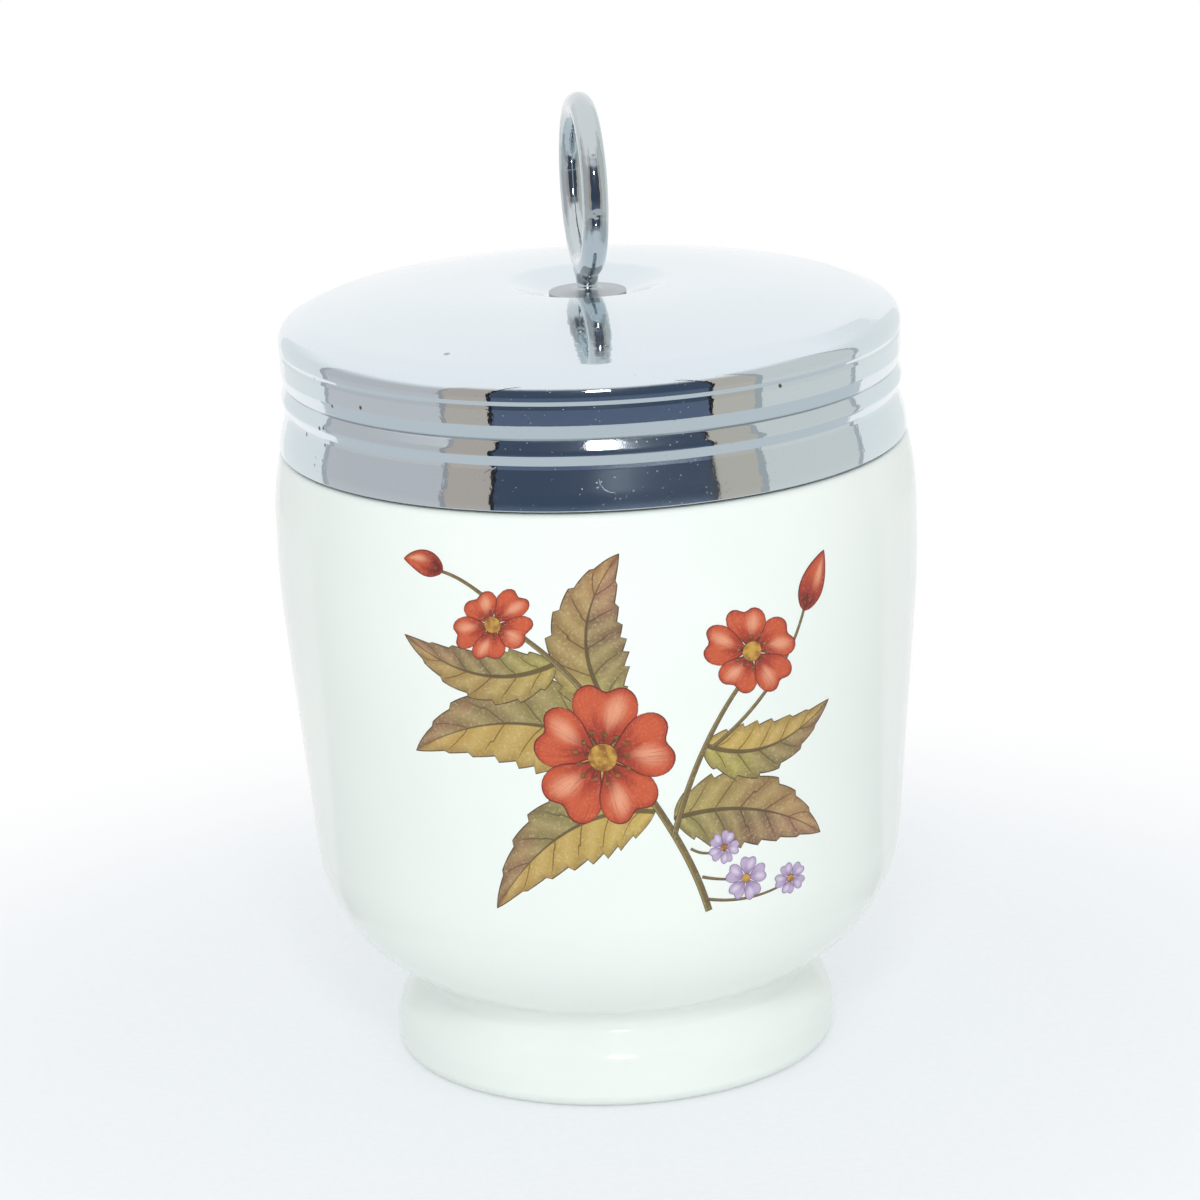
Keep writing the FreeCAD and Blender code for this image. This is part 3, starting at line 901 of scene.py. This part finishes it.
def printed_leaf():
    """A leaf in two halves, with midrib, side veins and a drawn edge."""
    s = Shader("printed_leaf")
    along, across, edge = s.marks("blade")
    tone, length, offset = s.marks("tint")
    blotch = s.minus(s.noise(420.0, 3.0), 0.5)
    reach = s.plus(along, s.times(blotch, 0.6))
    young = s.mix(tone, rgb(170, 160, 84), rgb(146, 138, 84))
    ripe = s.mix(tone, rgb(136, 124, 80), rgb(128, 104, 78))
    dry = s.mix(tone, rgb(148, 114, 84), rgb(166, 124, 100))
    colour = s.mix(s.spread(reach, 0.05, 0.55), young, ripe)
    colour = s.mix(s.spread(reach, 0.5, 0.95), colour, dry)
    golden = s.spread(tone, 0.0, 1.0, 0.75, 0.25)
    half = s.times(s.spread(across, -0.05, 0.06), golden)
    colour = s.mix(half, colour, rgb(196, 162, 84))
    wide = s.math("ABSOLUTE", across)
    lean = s.minus(s.times(along, 6.0), s.times(wide, 0.95))
    swell = s.math("ABSOLUTE", s.minus(s.math("FRACT", lean), 0.5))
    colour = s.mix(s.spread(swell, 0.1, 0.5, 0.0, 0.22), colour, rgb(222, 202, 140))
    shaded = s.times(s.fade(edge, 0.0, 1.3), 0.35)
    colour = s.mix(shaded, colour, rgb(96, 76, 56))
    colour = stippled(s, colour, rgb(226, 214, 178), rgb(84, 70, 50))
    from_vein = s.times(swell, s.times(length, 0.14))
    vein = s.times(s.fade(from_vein, 0.03, 0.15), s.fade(wide, 0.55, 0.95, 0.75))
    rib_width = s.spread(along, 0.0, 1.0, 0.34, 0.1)
    rib = s.minus(rib_width, s.math("ABSOLUTE", offset))
    rib = s.times(s.spread(rib, 0.0, 0.12), 0.85)
    colour = s.mix(s.math("MAXIMUM", vein, rib), colour, rgb(88, 72, 50))
    return glaze(s, drawn_edge(s, edge, colour, rgb(84, 64, 48), 0.13))


def streaks(s, along, across, tone, count):
    """Noise drawn out along a petal."""
    stretched = s.node("CombineXYZ", {
        "X": s.times(across, count),
        "Y": s.times(along, 1.3),
        "Z": s.times(tone, 23.0),
    })
    return s.noise(1.0, 4.0, 0.6, stretched.outputs[0])


def printed_petal(name, throat, deep, body, light, line):
    """A petal that runs from a dark throat to a lit middle and a drawn edge."""
    s = Shader(name)
    along, across, edge = s.marks("blade")
    tone, length, _ = s.marks("tint")
    streak = streaks(s, along, across, tone, 5.0)
    reach = s.plus(along, s.times(s.minus(streak, 0.5), 0.55))
    colour = s.mix(s.spread(reach, 0.14, 0.4), throat, deep)
    colour = s.mix(s.spread(reach, 0.36, 0.68), colour, body)
    aside = s.plus(s.times(across, 0.75), 0.22)
    beyond = s.minus(along, 0.66)
    far = s.plus(s.times(aside, aside), s.times(beyond, beyond))
    glow = s.fade(s.math("SQRT", far), 0.03, 0.36, 0.8)
    colour = s.mix(glow, colour, light)
    rim = s.times(s.fade(s.math("DIVIDE", edge, length), 0.0, 0.13), 0.75)
    colour = s.mix(rim, colour, deep)
    fine = s.spread(streaks(s, along, across, tone, 16.0), 0.52, 0.66, 0.0, 0.4)
    colour = s.mix(fine, colour, deep)
    colour = stippled(s, colour, light, throat, 0.2)
    width = s.times(length, 0.018)
    near = s.fade(s.math("DIVIDE", edge, s.plus(width, 0.03)), 0.5, 1.3, 0.85)
    return glaze(s, s.mix(near, colour, line))


def printed_stem():
    """A stem with a lit side and drawn edges."""
    s = Shader("printed_stem")
    _, across, edge = s.marks("blade")
    colour = s.mix(s.noise(500.0), rgb(96, 84, 54), rgb(134, 112, 78))
    colour = s.mix(s.spread(across, 0.0, 0.7, 0.0, 0.5), colour, rgb(168, 158, 100))
    colour = stippled(s, colour, rgb(196, 186, 146), rgb(74, 60, 42))
    return glaze(s, drawn_edge(s, edge, colour, rgb(76, 60, 44), 0.06))


def printed_centre():
    """The golden middle of a flower, darker at its edge and its stamens."""
    s = Shader("printed_centre")
    edge = s.marks("blade")[2]
    tone = s.marks("tint")[0]
    colour = s.mix(s.spread(s.noise(1500.0, 2.0), 0.35, 0.65), rgb(214, 168, 74), rgb(150, 98, 46))
    colour = s.mix(tone, colour, rgb(86, 50, 30))
    colour = stippled(s, colour, rgb(236, 206, 130), rgb(84, 50, 30))
    return glaze(s, drawn_edge(s, edge, colour, rgb(92, 54, 32), 0.09))


def polished_chrome(name, plating, wear, ripple, marks=None, foot=None):
    """Bright plating under a thin haze, with a pressing ripple, hairlines, pits and dust.

    plating is its colour.  ripple is the scale, the detail and the strength of its unevenness.
    marks(s) gives the share of its own scratches, how much denser the pits are, the share of dirt
    and of a darker groove line, and how worn it is.  foot is the height below which the metal is left
    satin.
    """
    s = Shader(name)
    patch = s.spread(s.noise(45.0, 2.0), 0.5, 0.72, 0.992, 0.94)
    scratch, dense, dirt_and_dark_groove, worn = marks(s) if marks else (0.0, 0.0, 0.0, 0.0)
    pits_and_dark_marks = s.times(s.spots(520.0, 0.06, 0.16, s.minus(patch, dense)), wear)
    pits_and_dark_marks = s.math("MAXIMUM", pits_and_dark_marks, dirt_and_dark_groove)
    dust = s.times(s.spots(1900.0, 0.08, 0.26, 0.6, channel=1), 0.9 * wear)
    cells = s.node("TexVoronoi", {"Vector": s.place(), "Scale": 110.0}, feature="DISTANCE_TO_EDGE")
    hair = s.fade(cells.outputs["Distance"], 0.002, 0.007)
    hair = s.times(hair, s.spread(s.noise(190.0, 2.0), 0.64, 0.70))
    hair = s.math("MAXIMUM", s.times(hair, 0.6 * wear), scratch)
    haze = s.spread(s.noise(28.0, 4.0, 0.6), 0.35, 0.75, 0.02, 0.06)
    dent = s.plus(pits_and_dark_marks, hair)
    rough = s.plus(haze, s.times(s.plus(dent, dust), 0.3))
    rough = s.plus(rough, s.times(worn, 0.16))
    # Pits, the dirt speck and the darker groove line share one dark colour.
    colour = s.mix(pits_and_dark_marks, plating, rgb(88, 80, 72))
    if foot:
        satin = s.fade(s.height(), foot * MM, (foot + 0.3) * MM)
        colour = s.mix(satin, colour, rgb(157, 164, 170))
        rough = s.plus(rough, s.times(satin, 0.3))
    scale, detail, strength = ripple
    uneven = s.plus(s.noise(scale, detail, 0.6), s.times(dent, -0.25))
    return s.glossy(colour, rough, (uneven, strength, 0.2), Metallic=1.0,
                    Coat_Weight=0.7, Coat_Roughness=0.32, Coat_IOR=1.45)


def lid_marks(s):
    """The lid's scratch, crowded pits, a speck of dirt, a darker line along the fine groove, and wear, as
    polished_chrome takes them.
    """
    off_curve = s.math("ABSOLUTE", s.minus(s.distance(SCRATCH_CENTRE), SCRATCH_RADIUS * MM))
    line = s.fade(off_curve, 0.02 * MM, 0.07 * MM, 0.5)
    scratch = s.times(line, s.near(SCRATCH_MIDDLE, 1.1, 1.5))
    dense = s.near(PITTED_PLACE, 3, 9, 0.9)
    # A darker line along the fine groove, broken by noise.
    off_groove = s.math("ABSOLUTE", s.minus(s.height(), DARKENED_GROOVE * MM))
    groove = s.fade(off_groove, 0.05 * MM, 0.16 * MM, 0.6)
    groove = s.times(groove, s.spread(s.noise(120.0, 3.0), 0.3, 0.6, 0.4, 1.0))
    dirt_and_dark_groove = s.math("MAXIMUM", groove, s.near(SPECK_PLACE, 0.15, 0.5, 0.7))
    return scratch, dense, dirt_and_dark_groove, s.near(WORN_PLACE, 3, 10)


def brushed_steel(name):
    """Plain tinned sheet with drawn lines round the axis and dull patches."""
    s = Shader(name)
    drawn = s.node("VectorMath", {0: s.place(), 1: (40.0, 40.0, 9000.0)}, operation="MULTIPLY")
    lines = s.noise(1.0, 3.0, 0.6, drawn.outputs[0])
    dull = s.noise(90.0, 4.0)
    colour = s.mix(s.spread(dull, 0.35, 0.7), rgb(196, 198, 200), rgb(160, 161, 162))
    rough = s.spread(lines, 0.2, 0.8, 0.24, 0.42)
    return s.glossy(colour, rough, (lines, 0.12, 0.1), Metallic=1.0)


# ---------------------- the stage
def floor_material():
    """Pale floor near the object that turns to plain white further off.

    Part of it looks the same in any light, so that the object's shadow on it stays soft.
    """
    s = Shader("pale_floor")
    flat = s.node("VectorMath", {0: s.place(), 1: (1.0, 1.0, 0.0)}, operation="MULTIPLY")
    away = s.node("VectorMath", {0: flat.outputs[0]}, operation="LENGTH").outputs["Value"]
    grain = s.spread(s.noise(1200.0, 2.0), 0.2, 0.8)
    near = s.node("BsdfDiffuse", {"Color": s.mix(grain, rgb(238, 240, 240), rgb(243, 245, 245))})
    level = s.mix(s.spread(away, FLOOR_NEAR * MM, FLOOR_FAR * MM), rgb(245, 250, 254), WHITE)
    plain = s.spread(away, FLOOR_NEAR * MM, FLOOR_FAR * MM, FLOOR_SHARE, 1.0)
    far = s.node("Emission", {"Color": level, "Strength": 1.0})
    both = s.node("MixShader", {0: s.times(plain, s.in_view()), 1: near.outputs[0], 2: far.outputs[0]})
    return s.finish(both.outputs[0])


def make_floor():
    """A plain floor that reaches past every view."""
    signs = ((-1, -1), (1, -1), (1, 1), (-1, 1))
    corners = [(x * FLOOR_REACH, y * FLOOR_REACH, FLOOR_LEVEL) for x, y in signs]
    made = new_object("floor", corners, [(0, 1, 2, 3)])
    made.data.materials.append(floor_material())


def card_material(name, low, middle, fade=CARD_TOP):
    """A plain card that glows with its own colour, and above the height fade turns to white."""
    s = Shader(name)
    colour = s.mix(s.spread(s.height(), 0.0, CARD_MIDDLE * MM), rgb(*low), rgb(*middle))
    colour = s.mix(s.spread(s.height(), fade * MM, (fade + CARD_PALING) * MM), colour, WHITE)
    return s.finish(s.node("Emission", {"Color": colour, "Strength": 1.0}).outputs[0])


def make_screen(name, first, last, lower, upper, material):
    """A screen bent round the object, between two (radius, height) edges, which only reflections see.

    first and last are degrees round from the camera's side, to its right.
    """
    steps = max(2, math.ceil(abs(last - first) / 3))
    vertices = []
    for step in range(steps + 1):
        turn = math.radians(CAMERA_AZIMUTH + first + (last - first) * step / steps)
        for radius, height in (lower, upper):
            vertices.append((radius * math.sin(turn), -radius * math.cos(turn), height))
    faces = [(2 * step, 2 * step + 2, 2 * step + 3, 2 * step + 1) for step in range(steps)]
    made = new_object(name, vertices, faces)
    made.data.materials.append(material)
    for rays in ("camera", "diffuse", "shadow", "transmission"):
        setattr(made, "visible_" + rays, False)


def make_cards():
    """The room that the chrome reflects: dark in front, tan beside it, grey walls, and a table."""
    line = (30, 32, 38)
    for name, first, last, low, middle, fade in (
        ("left_end", -150, -110, (238, 241, 240), (236, 239, 239), 130),
        ("left_frame", -110, -107, (176, 178, 182), (176, 178, 182), 130),
        ("left_wall", -107, -54, (206, 206, 207), (198, 197, 199), 150),
        ("left_gap", -54, -52, (160, 160, 162), (160, 160, 162), 180),
        ("left_tan", -52, -36, (194, 183, 173), (188, 176, 166), 220),
        ("left_line", -36, -34.5, line, line, CARD_TOP),
        ("front", -34.5, 40.5, (96, 109, 132), (67, 79, 98), 230),
        ("right_line", 40.5, 42, line, line, CARD_TOP),
        ("right_tan", 42, 58, (200, 192, 181), (194, 186, 174), 220),
        ("right_gap", 58, 61, (170, 176, 177), (170, 176, 177), 300),
        ("right_wall", 61, 105, (221, 223, 220), (216, 218, 215), 300),
        ("right_frame", 105, 108, (178, 184, 186), (178, 184, 186), 260),
        ("right_end", 108, 155, (240, 243, 241), (238, 241, 240), 200),
    ):
        card = card_material(name, low, middle, fade)
        make_screen(name + "_card", first, last, (CARD_RADIUS, 0.0), (CARD_RADIUS, CARD_TOP), card)
    table = (204, 209, 212)
    edges = (APRON_START, APRON_HEIGHT), (CARD_RADIUS, APRON_HEIGHT)
    make_screen("apron", -115, 115, *edges, card_material("apron", table, table))


def make_world():
    """White to the camera and in reflections; a plain level of light for everything else."""
    world = bpy.data.worlds.new("studio")
    bpy.context.scene.world = world
    s = Shader("studio", world, "OutputWorld")
    ambient = s.node("Background", {"Color": AMBIENT_COLOUR, "Strength": AMBIENT})
    white = s.node("Background", {"Color": WHITE, "Strength": 1.0})
    s.finish(s.node("MixShader", {0: s.in_view(), 1: ambient.outputs[0], 2: white.outputs[0]}).outputs[0])


def make_lamps():
    """Soft oval lamps aimed at the object's axis, and a small flash that reflections see.

    nearer is the way from the axis toward the camera's side; all lengths are in metres.
    """
    azimuth = math.radians(CAMERA_AZIMUTH)
    toward_camera = Vector((math.sin(azimuth), -math.cos(azimuth), 0))
    for name, nearer, right, height, aim, width, depth, power, reflected in (
        ("key", 0.6, 0.0, 0.45, 0.04, 0.25, 0.25, 0.8, False),
        ("fill", 0.8, 0.0, 0.11, 0.01, 1.6, 0.2, 0.85, False),
        ("back", -0.8, 0.0, 0.3, 0.04, 1.6, 0.4, 1.5, False),
        ("flash", 0.27, 0.01, 0.209, 0.05, 0.04, 0.04, 0.1, True),
    ):
        data = bpy.data.lights.new(name, "AREA")
        data.shape = "ELLIPSE"
        data.size = width
        data.size_y = depth
        data.energy = power
        lamp = add_object(name, data)
        lamp.location = toward_camera * nearer + Vector((right, 0, height))
        lamp.rotation_mode = "QUATERNION"
        lamp.rotation_quaternion = (Vector((0, 0, aim)) - lamp.location).to_track_quat("-Z", "Y")
        lamp.visible_camera = False
        lamp.visible_glossy = reflected


def make_camera():
    """The photograph's viewpoint."""
    data = bpy.data.cameras.new("camera")
    data.sensor_width = 36.0
    data.lens = CAMERA_LENS
    data.clip_start = 0.01
    camera = add_object("camera", data)
    camera.matrix_world = (
        Matrix.Rotation(math.radians(CAMERA_AZIMUTH), 4, "Z")
        @ Matrix.Translation((0, -CAMERA_DISTANCE, CAMERA_HEIGHT))
        @ Matrix.Rotation(math.radians(90 - CAMERA_PITCH), 4, "X")
        @ Matrix.Rotation(math.radians(-CAMERA_ROLL), 4, "Z")
    )
    bpy.context.scene.camera = camera


# ---------------------- putting it together
def dress(piece, body, node, material):
    """Give a piece its material in a slot and its body, and hide the CAD node that it stands for."""
    piece.data.materials.append(material)
    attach(piece, body)
    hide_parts(node)


def dress_print(piece, material):
    """Give a printed piece its material and lay it on the cup."""
    piece.data.materials.append(material)
    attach(piece, "cup")


lid_chrome = polished_chrome("lid_chrome", rgb(221, 231, 237), 1.0, (240.0, 4.0, 0.12), lid_marks)
dress(make_cup(), "cup", "porcelain_cup", glazed_porcelain())
dress(make_lid_shell(), "lid", "lid_shell", lid_chrome)
dress(make_screw_band(), "lid", "screw_band", brushed_steel("band_steel"))
ring_chrome = polished_chrome("ring_chrome", rgb(196, 204, 208), 0.4, (700.0, 1.0, 0.4),
                              foot=DISH_HEIGHT + 0.45)
dress(make_ring(), "lid", "lift_ring", ring_chrome)
dress(make_washer(), "lid_hub", "backing_washer", brushed_steel("washer_steel"))

orange_petal = printed_petal("printed_petal", rgb(104, 40, 34), rgb(164, 60, 44), rgb(198, 90, 58),
                             rgb(232, 168, 134), rgb(96, 36, 30))
mauve_petal = printed_petal("printed_mauve", rgb(128, 104, 142), rgb(164, 144, 180), rgb(186, 170, 200),
                            rgb(222, 212, 230), rgb(128, 108, 142))
dress_print(print_leaves(), printed_leaf())
dress_print(print_stems(), printed_stem())
dress_print(print_blossoms(), orange_petal)
dress_print(print_small_flowers(), mauve_petal)
dress_print(print_centres(), printed_centre())

make_floor()
make_cards()
make_world()
make_lamps()
make_camera()

bpy.context.scene.view_settings.view_transform = "Standard"
